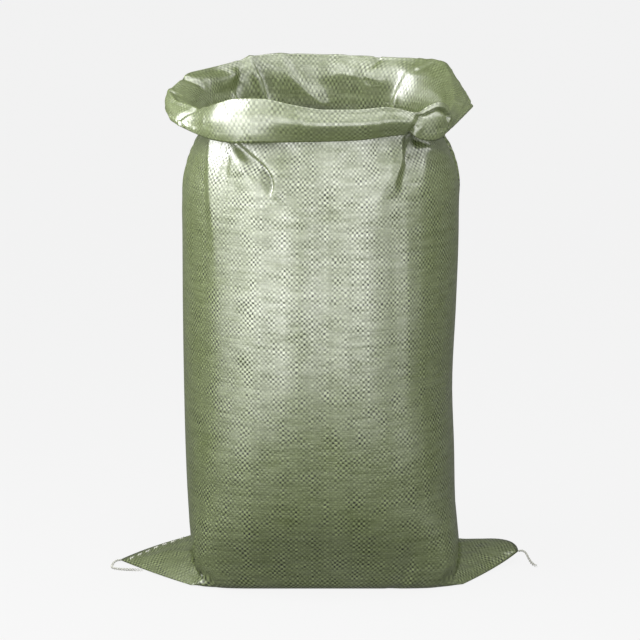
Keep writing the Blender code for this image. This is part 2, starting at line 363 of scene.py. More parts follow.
LEFT_EAR = Ear(
    tip=Vector((-0.2370, 0.026, 0.0010)),
    back_bow=Vector((-0.1970, 0.054, 0.0105)),
    back_root=Vector((-0.1500, 0.076, 0.0190)),
    front_bow=Vector((-0.1890, -0.040, 0.0005)),
    front_root=Vector((-0.1370, -0.1025, 0.0005)),
)
RIGHT_EAR = Ear(
    tip=Vector((0.2330, 0.020, 0.0130)),
    back_bow=Vector((0.2150, 0.062, 0.0170)),
    back_root=Vector((0.1600, 0.072, 0.0110)),
    front_bow=Vector((0.2010, -0.022, 0.0025)),
    front_root=Vector((0.1540, -0.1025, 0.0005)),
)
EAR_EDGE = 0.0015
EAR_PUFF = 0.011
EAR_WAVES = 0.0050
EAR_WAVE_LENGTH = 0.018
ROOT_COLUMNS = 4
ROOT_REACH = 0.018
ROOT_SMOOTHING = 24


def outline(level, shares, inset=0.0):
    """Points at shares of the way round a level's outline, from the front middle towards +X."""
    turn = np.linspace(-math.pi / 2, 1.5 * math.pi, OUTLINE_SAMPLES)
    across = np.where(np.cos(turn) < 0, level.left, level.right) - inset
    deep = level.depth - inset
    reach = (np.abs(np.cos(turn) / across) ** level.squareness
             + np.abs(np.sin(turn) / deep) ** level.squareness) ** (-1 / level.squareness)
    points = reach[:, None] * np.column_stack([np.cos(turn), np.sin(turn)])
    along = walked(points)
    return np.column_stack([np.interp(shares, along / along[-1], axis) for axis in points.T])


def ring(level, heights, shares, inset=0.0):
    flat = outline(level, shares, inset)
    return np.column_stack([flat, np.broadcast_to(heights, len(flat))])


def level_at(height):
    """The body's outline at a height between its stated levels."""
    fields = np.array(BODY_LEVELS, float)
    return Level(*smooth_through(fields[:, 0], fields, [height])[0])


def line_round(points, shares):
    """Points at shares of the girth, on straight lines between a table's, slightly rounded."""
    places = [row[0] for row in COLLAR]
    rounding = np.linspace(-CORNER_SPAN, CORNER_SPAN, 7)
    return np.column_stack([
        np.mean([np.interp(shares + away, places, axis, period=1) for away in rounding], axis=0)
        for axis in np.array(points).T])


def collar(shares):
    """The cloth from the neck over the crest to the cuff's edge, row by row."""
    crest = line_round([row[1] for row in COLLAR], shares)
    edge = line_round([row[2] for row in COLLAR], shares)
    stages = [ring(level_at(height), height, shares) for height in (0.505, 0.518, NECK_HEIGHT)]
    neck = stages[-1]
    for out, rise in FLARE_STAGES:
        stages.append(neck + (crest - neck) * (out, out, rise))
    stages.append(crest)
    for drop, bulge in CUFF_STAGES:
        hanging = crest + (edge - crest) * drop
        away = hanging * (1, 1, 0)
        stages.append(hanging + bulge * away / np.linalg.norm(away, axis=1)[:, None])
    stages = np.array(stages)
    places = np.linalg.norm(np.diff(stages, axis=0), axis=2).mean(axis=1)
    places = np.concatenate([[0.0], np.cumsum(places)])
    even = np.linspace(places[2], places[-1], COLLAR_ROWS * 20 + 1)
    crowding = 1 + CREST_CROWDING * np.exp(-((even - places[6]) / CREST_REACH) ** 2)
    crowded = np.cumsum(crowding) - crowding[0]
    marks = np.interp(np.linspace(0, crowded[-1], COLLAR_ROWS + 1)[1:], crowded, even)
    return smooth_through(places, stages, marks)


def bowed(start, bow, end, share):
    """Points on the bowed line that passes through all three points."""
    start, bow, end = (np.array(point) for point in (start, bow, end))
    control = 2 * bow - (start + end) / 2
    share = share[:, None]
    return (1 - share) ** 2 * start + 2 * share * (1 - share) * control + share**2 * end


def ear_columns(ear, base):
    """The first and last column of an ear, its tip's column, and its edge at each of them."""
    roots = [int(np.argmin(np.hypot(base[:, 0] - root.x, base[:, 1] - root.y)))
             for root in (ear.front_root, ear.back_root)]
    first, last = min(roots), max(roots)
    start, end = ((ear.front_bow, ear.front_root), (ear.back_bow, ear.back_root))
    if roots[0] > roots[1]:
        start, end = end, start
    shares = np.arange(first, last + 1)
    lengths = [(ear.tip - side[1]).length for side in (start, end)]
    tip = first + round((last - first) * lengths[0] / sum(lengths))
    up = bowed(start[1], start[0], ear.tip, (shares[shares <= tip] - first) / (tip - first))
    down = bowed(ear.tip, end[0], end[1], (shares[shares > tip] - tip) / (last - tip))
    return first, last, np.concatenate([up, down])


def sack_rows(shares):
    """Where the cloth lies: its rows from the base's edge to the mouth, and its columns."""
    base = ring(level_at(0.0), 0.0, shares, EDGE_RADIUS)
    turn = np.linspace(0, math.pi / 2, EAR_LOWER_ROWS + EAR_UPPER_ROWS + 1)
    edge = []
    for angle in turn:
        height = EDGE_RADIUS * (1 - math.cos(angle))
        inset = EDGE_RADIUS * (1 - math.sin(angle))
        edge.append(ring(level_at(height), height, shares, inset))
    edge = np.array(edge)
    spans = []
    for ear in (LEFT_EAR, RIGHT_EAR):
        first, last, outer = ear_columns(ear, edge[-1])
        spans.append((ear, first, last))
        columns = slice(first, last + 1)
        across = np.linspace(0, 1, last - first + 1)
        swell = np.sin(math.pi * across)
        outer = outer + np.array((0, 0, EAR_EDGE))
        under, over = edge[0, columns], edge[-1, columns]
        over = over + np.array((0, 0, 1)) * (outer[:1, 2] + (outer[-1:, 2] - outer[:1, 2]) * across)[:, None]
        for row in range(1, EAR_LOWER_ROWS):
            out = row / EAR_LOWER_ROWS
            edge[row, columns] = under + (outer - under) * out
        for row in range(EAR_LOWER_ROWS, EAR_LOWER_ROWS + EAR_UPPER_ROWS):
            out = 1 - (row - EAR_LOWER_ROWS) / EAR_UPPER_ROWS
            edge[row, columns] = over + (outer - over) * out
            edge[row, columns, 2] += EAR_PUFF * swell * (1 - out) ** 1.5 * out ** 0.5
            for place, share in zip(edge[row, columns], swell):
                place[2] += EAR_WAVES * share * (1 - out) * noise.noise(Vector(place) / EAR_WAVE_LENGTH)
    body = np.linspace(EDGE_RADIUS, SHOULDER_FROM, BODY_ROWS + 1)[1:]
    shoulder = np.linspace(SHOULDER_FROM, NECK_HEIGHT, SHOULDER_ROWS + 1)[1:]
    walls = [ring(level_at(height), height, shares) for height in (*body, *shoulder)]
    return np.concatenate([edge, walls, collar(shares)]), spans


# A fold in the cloth. Its path gives a share of the girth, a distance up the cloth and a
# strength at each point. Left and right of the path it has its own height and width.
Fold = namedtuple("Fold", "path left right sharpness lean", defaults=(0.0,))
FOLD_SAMPLES = 60
FOLD_BLEND = 0.0025
LEAN_WIDTH = 0.010

BODY_FOLDS = (
    # The left shoulder: the front panel's edge over a furrow, and fine strain lines beyond it.
    Fold(((0.866, 0.552, 0.3), (0.880, 0.541, 0.5), (0.900, 0.531, 0.7), (0.920, 0.521, 0.9),
          (0.934, 0.511, 1.0), (0.941, 0.500, 0.9), (0.942, 0.489, 0.5), (0.938, 0.478, 0.0)),
         (0.0060, 0.040), (-0.0080, 0.018), 0.5, 0.0020),
    Fold(((0.872, 0.545, 0.2), (0.884, 0.526, 1.0), (0.905, 0.504, 1.0), (0.920, 0.484, 0.6),
          (0.925, 0.468, 0.0)), (0.0024, 0.010), (0.0024, 0.024), 0.6),
    Fold(((0.872, 0.538, 0.5), (0.866, 0.515, 1.0), (0.862, 0.490, 0.6), (0.858, 0.470, 0.0)),
         (0.0011, 0.006), (0.0011, 0.010), 0.8),
    Fold(((0.880, 0.530, 0.4), (0.882, 0.508, 1.0), (0.884, 0.485, 0.7), (0.885, 0.460, 0.0)),
         (0.0009, 0.005), (0.0009, 0.008), 0.8),
    # The left side's corner.
    Fold(((0.822, 0.556, 0.7), (0.829, 0.533, 1.0), (0.844, 0.509, 1.0), (0.853, 0.481, 0.8),
          (0.860, 0.440, 0.4), (0.866, 0.390, 0.0)), (0.0055, 0.032), (0.0055, 0.013), 0.7),
    # The right shoulder: the front panel stands proud of the side.
    Fold(((0.138, 0.556, 0.8), (0.130, 0.545, 1.0), (0.118, 0.536, 1.0), (0.110, 0.527, 1.0),
          (0.104, 0.517, 1.0), (0.095, 0.503, 0.9), (0.090, 0.493, 0.6), (0.094, 0.478, 0.0)),
         (0.0060, 0.013), (0.0060, 0.036), 0.5, 0.0010),
    Fold(((0.150, 0.556, 0.8), (0.142, 0.545, 1.0), (0.131, 0.536, 1.0), (0.124, 0.527, 1.0),
          (0.118, 0.517, 0.9), (0.110, 0.503, 0.7), (0.105, 0.490, 0.3), (0.107, 0.478, 0.0)),
         (-0.0060, 0.030), (-0.0060, 0.013), 0.1),
    Fold(((0.126, 0.552, 1.0), (0.120, 0.541, 1.0), (0.115, 0.530, 0.6), (0.111, 0.518, 0.0)),
         (-0.0070, 0.016), (-0.0070, 0.008), 0.3),
    Fold(((0.130, 0.534, 0.4), (0.150, 0.530, 1.0), (0.180, 0.522, 1.0), (0.214, 0.511, 0.3)),
         (0.0035, 0.009), (0.0035, 0.016), 0.5),
    Fold(((0.150, 0.545, 0.6), (0.172, 0.536, 1.0), (0.200, 0.532, 0.4)),
         (0.0030, 0.008), (0.0030, 0.008), 0.6),
    # The front between its two broad upright bulges.
    Fold(((0.003, 0.500, 0.0), (0.005, 0.440, 1.0), (0.004, 0.300, 1.0), (0.002, 0.150, 0.5),
          (0.002, 0.060, 0.0)), (-0.0020, 0.032), (-0.0020, 0.032), 0.0),
    Fold(((0.090, 0.480, 0.0), (0.092, 0.420, 1.0), (0.092, 0.300, 0.7), (0.092, 0.120, 0.0)),
         (-0.0012, 0.016), (-0.0012, 0.016), 0.2),
    # The bottom corners in front.
    Fold(((0.838, 0.075, 0.0), (0.842, 0.055, 1.0), (0.850, 0.030, 1.0), (0.858, 0.010, 0.6)),
         (0.0045, 0.009), (0.0045, 0.008), 0.8),
    Fold(((0.111, 0.085, 0.0), (0.109, 0.060, 1.0), (0.103, 0.036, 1.0), (0.097, 0.012, 0.5)),
         (-0.0040, 0.012), (-0.0040, 0.018), 0.5),
    Fold(((0.100, 0.022, 0.3), (0.130, 0.032, 1.0), (0.160, 0.042, 0.8), (0.185, 0.050, 0.0)),
         (0.0045, 0.012), (0.0045, 0.012), 0.7),
    # The back's shoulders and bottom corners.
    Fold(((0.395, 0.552, 0.7), (0.405, 0.530, 1.0), (0.425, 0.510, 0.8), (0.432, 0.480, 0.0)),
         (0.0050, 0.040), (-0.0050, 0.014), 0.6),
    Fold(((0.620, 0.552, 0.7), (0.606, 0.532, 1.0), (0.590, 0.512, 0.9), (0.575, 0.470, 0.0)),
         (-0.0050, 0.014), (0.0050, 0.040), 0.6),
    Fold(((0.505, 0.545, 0.4), (0.500, 0.520, 1.0), (0.492, 0.490, 0.7), (0.490, 0.450, 0.0)),
         (0.0030, 0.014), (0.0030, 0.010), 0.6),
    Fold(((0.262, 0.548, 0.5), (0.258, 0.520, 1.0), (0.250, 0.490, 0.6), (0.246, 0.440, 0.0)),
         (0.0035, 0.016), (-0.0030, 0.012), 0.6),
    Fold(((0.745, 0.550, 0.5), (0.750, 0.522, 1.0), (0.758, 0.492, 0.7), (0.760, 0.450, 0.0)),
         (0.0035, 0.014), (-0.0030, 0.012), 0.6),
    Fold(((0.375, 0.080, 0.0), (0.368, 0.052, 1.0), (0.362, 0.026, 0.8), (0.360, 0.012, 0.3)),
         (0.0030, 0.012), (0.0030, 0.010), 0.7),
    Fold(((0.630, 0.080, 0.0), (0.636, 0.052, 1.0), (0.640, 0.026, 0.8), (0.642, 0.012, 0.3)),
         (0.0030, 0.010), (0.0030, 0.012), 0.7),
)
COLLAR_FOLDS = (
    # The left end of the front band laps over the flat face beside it.
    Fold(((0.850, 0.585, 0.1), (0.836, 0.594, 0.6), (0.823, 0.602, 1.0), (0.809, 0.614, 1.0),
          (0.798, 0.630, 0.6)), (-0.0030, 0.012), (0.0040, 0.016), 0.5, 0.0020),
    Fold(((0.838, 0.592, 0.0), (0.831, 0.597, 0.8), (0.822, 0.603, 1.0), (0.813, 0.611, 1.0),
          (0.806, 0.619, 0.0)), (-0.0110, 0.0040), (-0.0110, 0.0026), 0.2),
    Fold(((0.735, 0.590, 0.6), (0.760, 0.590, 1.0), (0.790, 0.590, 1.0), (0.822, 0.589, 1.0),
          (0.850, 0.588, 0.3)), (0.0020, 0.005), (0.0020, 0.005), 1.0),
    # The band's upper part rolls out and its lower part turns back in.
    Fold(((0.925, 0.607, 0.0), (0.955, 0.607, 0.5), (0.990, 0.607, 1.0), (1.035, 0.607, 1.0),
          (1.075, 0.607, 1.0), (1.105, 0.606, 0.7)), (0.0052, 0.020), (0.0052, 0.014), 0.3),
    Fold(((0.862, 0.612, 0.6), (0.890, 0.614, 1.0), (0.920, 0.612, 0.6), (0.950, 0.610, 0.0)),
         (0.0022, 0.020), (0.0022, 0.022), 0.0),
    # The pinch at its right end.
    Fold(((0.119, 0.592, 0.2), (0.114, 0.604, 0.8), (0.109, 0.615, 1.0), (0.105, 0.632, 1.0)),
         (-0.0070, 0.009), (-0.0070, 0.007), 0.6),
    # The lobe beside it, and the lip of cloth that curls round the lobe's top.
    Fold(((0.119, 0.594, 0.4), (0.128, 0.595, 1.0), (0.138, 0.595, 1.0), (0.148, 0.596, 1.0),
          (0.157, 0.598, 1.0), (0.163, 0.603, 1.0), (0.164, 0.612, 0.3)),
         (-0.0060, 0.008), (0.0034, 0.004), 0.6, 0.0016),
    # The edge of the lobe over the open flap, and the creases of the flap.
    Fold(((0.166, 0.588, 0.3), (0.168, 0.600, 1.0), (0.166, 0.612, 1.0), (0.160, 0.632, 0.8)),
         (0.0022, 0.010), (-0.0040, 0.012), 0.5, 0.0020),
    Fold(((0.238, 0.578, 0.2), (0.244, 0.592, 1.0), (0.247, 0.608, 0.8), (0.248, 0.622, 0.0)),
         (0.0022, 0.020), (0.0022, 0.008), 0.6),
    Fold(((0.262, 0.630, 1.0), (0.258, 0.614, 1.0), (0.238, 0.608, 0.8), (0.218, 0.614, 0.3)),
         (-0.0028, 0.006), (-0.0028, 0.010), 0.7),
    # The back wall, as it shows through the mouth: the bright lip under the rim on the left.
    Fold(((0.690, 0.583, 0.4), (0.668, 0.578, 1.0), (0.647, 0.575, 1.0), (0.625, 0.575, 1.0),
          (0.606, 0.580, 0.3)), (0.0050, 0.015), (0.0050, 0.011), 0.7),
    Fold(((0.698, 0.596, 0.3), (0.693, 0.586, 1.0), (0.690, 0.576, 0.8), (0.686, 0.566, 0.0)),
         (-0.0030, 0.008), (-0.0030, 0.005), 0.7),
    Fold(((0.603, 0.584, 0.4), (0.609, 0.575, 1.0), (0.615, 0.565, 1.0), (0.621, 0.552, 0.3)),
         (-0.0040, 0.009), (-0.0040, 0.006), 0.7),
    Fold(((0.586, 0.590, 0.3), (0.587, 0.576, 1.0), (0.581, 0.564, 1.0), (0.576, 0.552, 0.8),
          (0.570, 0.540, 0.0)), (0.0045, 0.014), (-0.0045, 0.022), 0.7),
    Fold(((0.550, 0.590, 0.3), (0.542, 0.570, 1.0), (0.522, 0.557, 1.0), (0.500, 0.546, 1.0),
          (0.488, 0.534, 0.0)), (0.0055, 0.026), (0.0055, 0.011), 0.8),
    Fold(((0.490, 0.574, 0.2), (0.465, 0.570, 1.0), (0.438, 0.567, 0.9), (0.415, 0.567, 0.5),
          (0.395, 0.570, 0.0)), (0.0055, 0.016), (0.0055, 0.020), 0.4),
    Fold(((0.433, 0.592, 0.6), (0.433, 0.584, 1.0), (0.436, 0.574, 0.5)),
         (-0.0022, 0.005), (-0.0022, 0.005), 0.8),
    Fold(((0.443, 0.568, 0.4), (0.437, 0.565, 1.0), (0.430, 0.562, 0.3)),
         (-0.0022, 0.005), (-0.0022, 0.005), 0.8),
    Fold(((0.384, 0.592, 0.5), (0.372, 0.578, 1.0), (0.352, 0.592, 0.4)),
         (-0.0012, 0.007), (0.0010, 0.010), 0.6),
    # The cuff on the back and the left side.
    Fold(((0.450, 0.604, 0.5), (0.462, 0.620, 1.0), (0.468, 0.648, 1.0)),
         (-0.0050, 0.014), (0.0035, 0.022), 0.6),
    Fold(((0.585, 0.602, 0.4), (0.575, 0.622, 1.0), (0.572, 0.648, 1.0)),
         (0.0035, 0.022), (-0.0050, 0.014), 0.6),
    Fold(((0.712, 0.604, 0.4), (0.722, 0.622, 1.0), (0.726, 0.648, 0.8)),
         (0.0035, 0.014), (-0.0035, 0.012), 0.6),
)
HEM_UP = 0.636
HEM_HEIGHT = 0.0012
HEM_DEPTH = 0.009
HEM_FROM = 0.15
HEM_IN_FRONT = 0.15
PUCKERS = 110
CREASE_SEED = 11
CREASES = 90


def hem_folds(up):
    """The narrow hem round the mouth: a low step, and the puckers that its sewing draws up."""
    chance = random.Random(CREASE_SEED + 1)
    ring_path = [(share, up, HEM_IN_FRONT if min(share, 1 - share) < HEM_FROM else 1.0)
                 for share in np.linspace(0, 1, 41)]
    folds = []
    for half in (ring_path[:14], ring_path[13:28], ring_path[27:]):
        folds.append(Fold(half, (HEM_HEIGHT, 0.010), (-HEM_HEIGHT, 0.003), 0.3))
    for number in range(PUCKERS):
        share = (number + chance.uniform(-0.3, 0.3)) / PUCKERS
        lean = chance.uniform(-0.004, 0.004)
        path = ((share, up - 0.006, 0.0), (share + lean / 2, up, 1.0), (share + lean, up + 0.008, 0.6))
        height = chance.uniform(0.0002, 0.0007) * chance.choice((1, 1, -1))
        if min(share % 1, 1 - share % 1) < HEM_FROM:
            height *= HEM_IN_FRONT
        folds.append(Fold(path, (height, 0.0035), (height, 0.0035), 0.5))
    return folds


def small_creases():
    """The short sharp creases that a handled sack keeps all over its collar and shoulders."""
    chance = random.Random(CREASE_SEED)
    creases = []
    for _ in range(CREASES):
        share, up = chance.random(), chance.uniform(0.500, HEM_UP)
        slope, length = chance.gauss(math.pi / 2, 0.7), chance.uniform(0.006, 0.024)
        bend = chance.uniform(-0.5, 0.5)
        height = chance.choice((-1, 1)) * chance.uniform(0.0005, 0.0016)
        path = [(share + length * way * math.cos(slope + bend * way),
                 up + length * way * math.sin(slope + bend * way), 1.0 - abs(way))
                for way in (-1.0, -0.4, 0.4, 1.0)]
        creases.append(Fold(path, (height, chance.uniform(0.004, 0.010)),
                            (height, chance.uniform(0.003, 0.006)), 0.8))
    return creases


def fold_moves(fold, across, up):
    """How far a fold moves each point of the cloth: to its side, up the cloth and outwards."""
    path = np.array(fold.path)
    line = smooth_through(np.arange(len(path)), path, np.linspace(0, len(path) - 1, FOLD_SAMPLES))
    line[:, 0] *= GIRTH
    middle = line[:, 0].mean()
    across = (across - middle + GIRTH / 2) % GIRTH + middle - GIRTH / 2
    reach = max(fold.left[1], fold.right[1])
    near = ((np.abs(across - middle) < np.ptp(line[:, 0]) / 2 + reach + 0.02)
            & (up > line[:, 1].min() - reach) & (up < line[:, 1].max() + reach))
    spots = np.column_stack([across[near], up[near]])
    away = spots[:, None] - line[None, :, :2]
    nearest = np.argmin((away ** 2).sum(axis=2), axis=1)
    ahead = np.gradient(line[:, :2], axis=0)[nearest]
    ahead /= np.linalg.norm(ahead, axis=1)[:, None]
    away = away[np.arange(len(spots)), nearest]
    left_of = ahead[:, 0] * away[:, 1] - ahead[:, 1] * away[:, 0]
    distance = np.linalg.norm(away, axis=1)
    sides = []
    for height, width in (fold.left, fold.right):
        rest = np.clip(1 - distance / width, 0, 1)
        bell = (1 - (1 - rest) ** 2) ** 2
        sides.append(height * ((1 - fold.sharpness) * bell + fold.sharpness * rest ** 1.6))
    turn = np.clip(left_of / FOLD_BLEND * 0.5 + 0.5, 0, 1)
    strength = line[nearest, 2]
    moves = np.zeros((*up.shape, 3))
    aside = strength * fold.lean * np.clip(1 - distance / LEAN_WIDTH, 0, 1) ** 1.5 * (2 * turn - 1)
    moves[near, 0] = aside * ahead[:, 1]
    moves[near, 1] = -aside * ahead[:, 0]
    moves[near, 2] = strength * (sides[1] + (sides[0] - sides[1]) * turn * turn * (3 - 2 * turn))
    return moves


def folded(places, across, up, folds, way=1.0):
    """The cloth with folds added to it. The way is 1 on its outer face and -1 on its inner."""
    ring = places[:, :-1]
    along = np.roll(ring, -1, axis=1) - np.roll(ring, 1, axis=1)
    along = np.concatenate([along, along[:, :1]], axis=1)
    rise = np.gradient(places, axis=0)
    frame_axes = [along, rise, np.cross(along, rise) * way]
    moves = sum(fold_moves(fold, across, up) for fold in folds)
    for axis, directions in enumerate(frame_axes):
        directions /= np.maximum(np.linalg.norm(directions, axis=2), 1e-9)[:, :, None]
        places = places + directions * moves[:, :, axis:axis + 1]
    places[:, -1] = places[:, 0]
    return places


def tube_form(places, chart_of=None):
    """A tube of cloth or powder from rows of places round it, in bmesh, with its seam closed."""
    rows, columns = places.shape[0] - 1, places.shape[1] - 1
    form = bmesh.new()
    bmesh.ops.create_grid(form, x_segments=columns, y_segments=rows, size=0.5)
    grid = [(round((point.co.y + 0.5) * rows), round((point.co.x + 0.5) * columns))
            for point in form.verts]
    if chart_of:
        chart = form.loops.layers.uv.new("cloth")
        for face in form.faces:
            corners = [grid[loop.vert.index] for loop in face.loops]
            for loop, spot in zip(face.loops, chart_of(corners)):
                loop[chart].uv = spot
    for point, spot in zip(form.verts, grid):
        point.co = places[spot]
    bmesh.ops.remove_doubles(form, verts=form.verts, dist=1e-6)
    return form


def shown(form, name):
    """The form as a smooth object in the scene."""
    mesh = bpy.data.meshes.new(name)
    form.to_mesh(mesh)
    form.free()
    mesh.shade_smooth()
    made = bpy.data.objects.new(name, mesh)
    bpy.context.scene.collection.objects.link(made)
    return made


def sack():
    even = np.linspace(0, 1, COLUMNS * 8 + 1)
    crowding = 1 + sum(amount * np.exp(-(((even - share + 0.5) % 1 - 0.5) / reach) ** 2)
                       for share, reach, amount in CROWDED)
    crowded = np.cumsum(crowding) - crowding[0]
    shares = np.interp(np.linspace(0, crowded[-1], COLUMNS + 1), crowded, even)
    places, ears = sack_rows(shares)
    up = np.linalg.norm(np.diff(places[:, ::COLUMNS // 8], axis=0), axis=2)
    up = np.concatenate([[0.0], np.cumsum(np.median(up, axis=1))])
    chart_across, chart_up = np.meshgrid(shares * GIRTH, up)
    places = folded(places, chart_across, chart_up, BODY_FOLDS)
    places = folded(places, chart_across, chart_up, COLLAR_FOLDS, -1.0)
    places = folded(places, chart_across, chart_up, small_creases())
    places = folded(places, chart_across, chart_up, hem_folds(up[-1] - HEM_DEPTH), -1.0)

    def chart_of(corners):
        rows, columns = zip(*corners)
        on_ear = [ear for ear, first, last in ears if min(columns) >= first
                  and max(columns) <= last and max(rows) <= EAR_LOWER_ROWS + EAR_UPPER_ROWS]
        if not on_ear or min(abs(column - end) for ear, *ends in ears for end in ends
                             for column in columns) < ROOT_COLUMNS:
            return [(shares[column] * GIRTH, up[row]) for row, column in corners]
        hem = (on_ear[0].back_root - on_ear[0].tip).xy.normalized()
        away = [Vector(places[corner]).xy - on_ear[0].tip.xy for corner in corners]
        return [(spot.dot(hem), spot.cross(hem)) for spot in away]

    form = tube_form(places, chart_of)
    rim = [edge for edge in form.edges if edge.is_boundary and edge.verts[0].co.z < 0.1]
    bmesh.ops.contextual_create(form, geom=rim)
    roots = [root for ear in (LEFT_EAR, RIGHT_EAR) for root in (ear.front_root, ear.back_root)]
    crumpled = [point for point in form.verts
                if min((point.co - root).length for root in roots) < ROOT_REACH]
    for _ in range(ROOT_SMOOTHING):
        bmesh.ops.smooth_vert(form, verts=crumpled, factor=0.5, use_axis_x=True, use_axis_y=True,
                              use_axis_z=True)
    made = shown(form, "sack_cloth")
    shell = made.modifiers.new("Thickness of the cloth", "SOLIDIFY")
    shell.thickness = CLOTH
    shell.offset = -1
    return made


def woven_material():
    made, shader, wire = finish("woven_tape")
    chart = wire.node("ShaderNodeUVMap", {"uv_map": "cloth"})
    place = wire.node("ShaderNodeTexCoord", output="Object")
    # The tapes wander a little sideways and are drawn closer in places.
    sway = wire.node("ShaderNodeTexNoise", None, {"Vector": chart, "Scale": 75.0, "Detail": 3.0}, output=1)
    swayed = wire.node("ShaderNodeVectorMath", {"operation": "MULTIPLY_ADD"},
                       {0: sway, 1: (0.0045, 0.0045, 0), 2: chart})
    across = wire.node("ShaderNodeSeparateXYZ", None, {0: swayed}) / TAPE
    along = wire.node("ShaderNodeSeparateXYZ", None, {0: swayed}, output=1) / TAPE
    warp, weft = across.math("FLOOR", across), along.math("FLOOR", along)
    in_warp, in_weft = across - warp - 0.5, along - weft - 0.5
    over = (warp + weft) % 2.0
    # Each tape arches over the next and its edges lie a little lower than its middle.
    height_warp = (1 - in_warp * in_warp * 1.6) * 0.3 + wire.math("COSINE", in_weft * math.pi) * 0.7
    height_weft = (1 - in_weft * in_weft * 1.6) * 0.3 + wire.math("COSINE", in_warp * math.pi) * 0.7
    height = height_warp * (1 - over) + height_weft * over
    slack = wire.node("ShaderNodeTexNoise", None, {"Vector": place, "Scale": 24.0, "Detail": 4.0})
    stretched = wire.node("ShaderNodeVectorMath", {"operation": "MULTIPLY"}, {0: place, 1: (45, 45, 120)})
    wrinkles = wire.node("ShaderNodeTexNoise", None, {"Vector": stretched, "Scale": 1.0, "Detail": 2.0})
    bump = wire.node("ShaderNodeBump", None,
                     {"Height": height + slack * 6.0 + wrinkles * 6.0, "Distance": 0.00030, "Strength": 1.0})
    own_warp = wire.node("ShaderNodeTexWhiteNoise", {"noise_dimensions": "1D"}, {"W": warp})
    own_weft = wire.node("ShaderNodeTexWhiteNoise", {"noise_dimensions": "1D"}, {"W": weft + 1000.5})
    own = own_warp * (1 - over) + own_weft * over
    # Seen from a distance the tapes that pass over show as light dots between dark ones. These dots are a painted
    # highlight and painted shade of the tapes' arches, more in some patches than in others, as the tapes lie tighter
    # or looser.
    dots = wire.math("SINE", across * math.pi) * wire.math("SINE", along * math.pi)
    dots = dots * (1.5 - 0.5 * dots * dots)
    patches = wire.node("ShaderNodeTexNoise", None, {"Vector": place, "Scale": 62.0, "Detail": 4.0})
    patches = wire.node("ShaderNodeMapRange", {"clamp": True}, {0: patches, 1: 0.38, 2: 0.62, 3: 0.20, 4: 1.15})
    # The painted dots are fainter up on the collar.
    fainter_on_collar = wire.node("ShaderNodeMapRange", {"clamp": True}, {0: along, 1: 0.52 / TAPE, 2: 0.59 / TAPE, 3: 1.0, 4: 0.6})
    dots = dots * patches * fainter_on_collar * (0.8 + 0.4 * own_warp) * (0.8 + 0.4 * own_weft)
    drawn = wire.node("ShaderNodeVectorMath", {"operation": "MULTIPLY"}, {0: chart, 1: (38, 150, 1)})
    streaks = wire.node("ShaderNodeTexNoise", None, {"Vector": drawn, "Scale": 1.0, "Detail": 4.0}) - 0.5
    # Where the tapes lie low, at their edges and between them, the colour is darkened: painted shade in those gaps.
    gap = 1 - height
    shade = (1 + 0.75 * dots) * (0.88 + 0.24 * own + 0.5 * streaks) * (1 - gap * gap * 0.4)
    colour = wire.node(
        "ShaderNodeMix", {"data_type": "RGBA", "blend_type": "MULTIPLY"},
        {0: 1.0, 6: TAPE_COLOUR,
         7: wire.node("ShaderNodeCombineColor", None, {0: shade, 1: shade, 2: shade})},
        output=2)
    roughness = 0.46 - 0.10 * dots + own * 0.06 + (slack - 0.5) * 0.3
    gloss = 0.66 + 0.42 * dots + 0.20 * (own - 0.5) + 0.6 * (slack - 0.5) + 0.9 * streaks
    feed(shader, Base_Color=colour, Normal=bump, Roughness=roughness, Coat_Weight=gloss)
    shader.inputs["Specular IOR Level"].default_value = 0.6
    shader.inputs["Coat Roughness"].default_value = 0.29
    shader.inputs["Coat IOR"].default_value = 2.8
    return made


cloth = sack()
cloth.data.materials.append(woven_material())
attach(cloth, "root")
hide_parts("sack")


# The cement: fine dry powder, poured in and settled, with small lumps and a shallow hollow on
# top. It lies against the cloth all round and is held by it alone.
FILL_GAP = 0.0045
FILL_TOP = 0.464
FILL_HOLLOW = 0.006
FILL_COLUMNS = 180
FILL_WALL_ROWS = 30
FILL_TOP_ROWS = 60
LUMP_SIZES = ((0.050, 0.0040), (0.016, 0.0016), (0.006, 0.0007), (0.0025, 0.0003))
CEMENT_COLOUR = (0.30, 0.30, 0.285, 1)


def powder():
    shares = np.linspace(0, 1, FILL_COLUMNS + 1)
    foot = level_at(0.0)
    under = [ring(foot, 0.002, shares, EDGE_RADIUS) * (share, share, 1) for share in (0.0, 0.5)]
    walls = [ring(level_at(height), height, shares, FILL_GAP + EDGE_RADIUS * math.exp(-height / 0.03))
             for height in np.linspace(0.002, FILL_TOP, FILL_WALL_ROWS)]
    rim = walls[-1]
    top = [rim * (1 - share, 1 - share, 1) for share in np.linspace(0, 1, FILL_TOP_ROWS + 1)[1:]]
    top = np.array(top)
    spots = top.reshape(-1, 3)
    middle = 1 - np.repeat(np.linspace(1, 0, FILL_TOP_ROWS + 1)[1:], FILL_COLUMNS + 1) ** 2
    lift = -FILL_HOLLOW * middle
    for size, height in LUMP_SIZES:
        lumps = np.array([noise.noise(Vector(spot) / size) for spot in spots])
        lift = lift + height * lumps * np.minimum(1, middle * 6)
    top[:, :, 2] += lift.reshape(top.shape[:2])
    top[-1] = top[-1].mean(axis=0)
    top[:, -1] = top[:, 0]
    return shown(tube_form(np.concatenate([under, walls, top])), "cement_powder_heap")


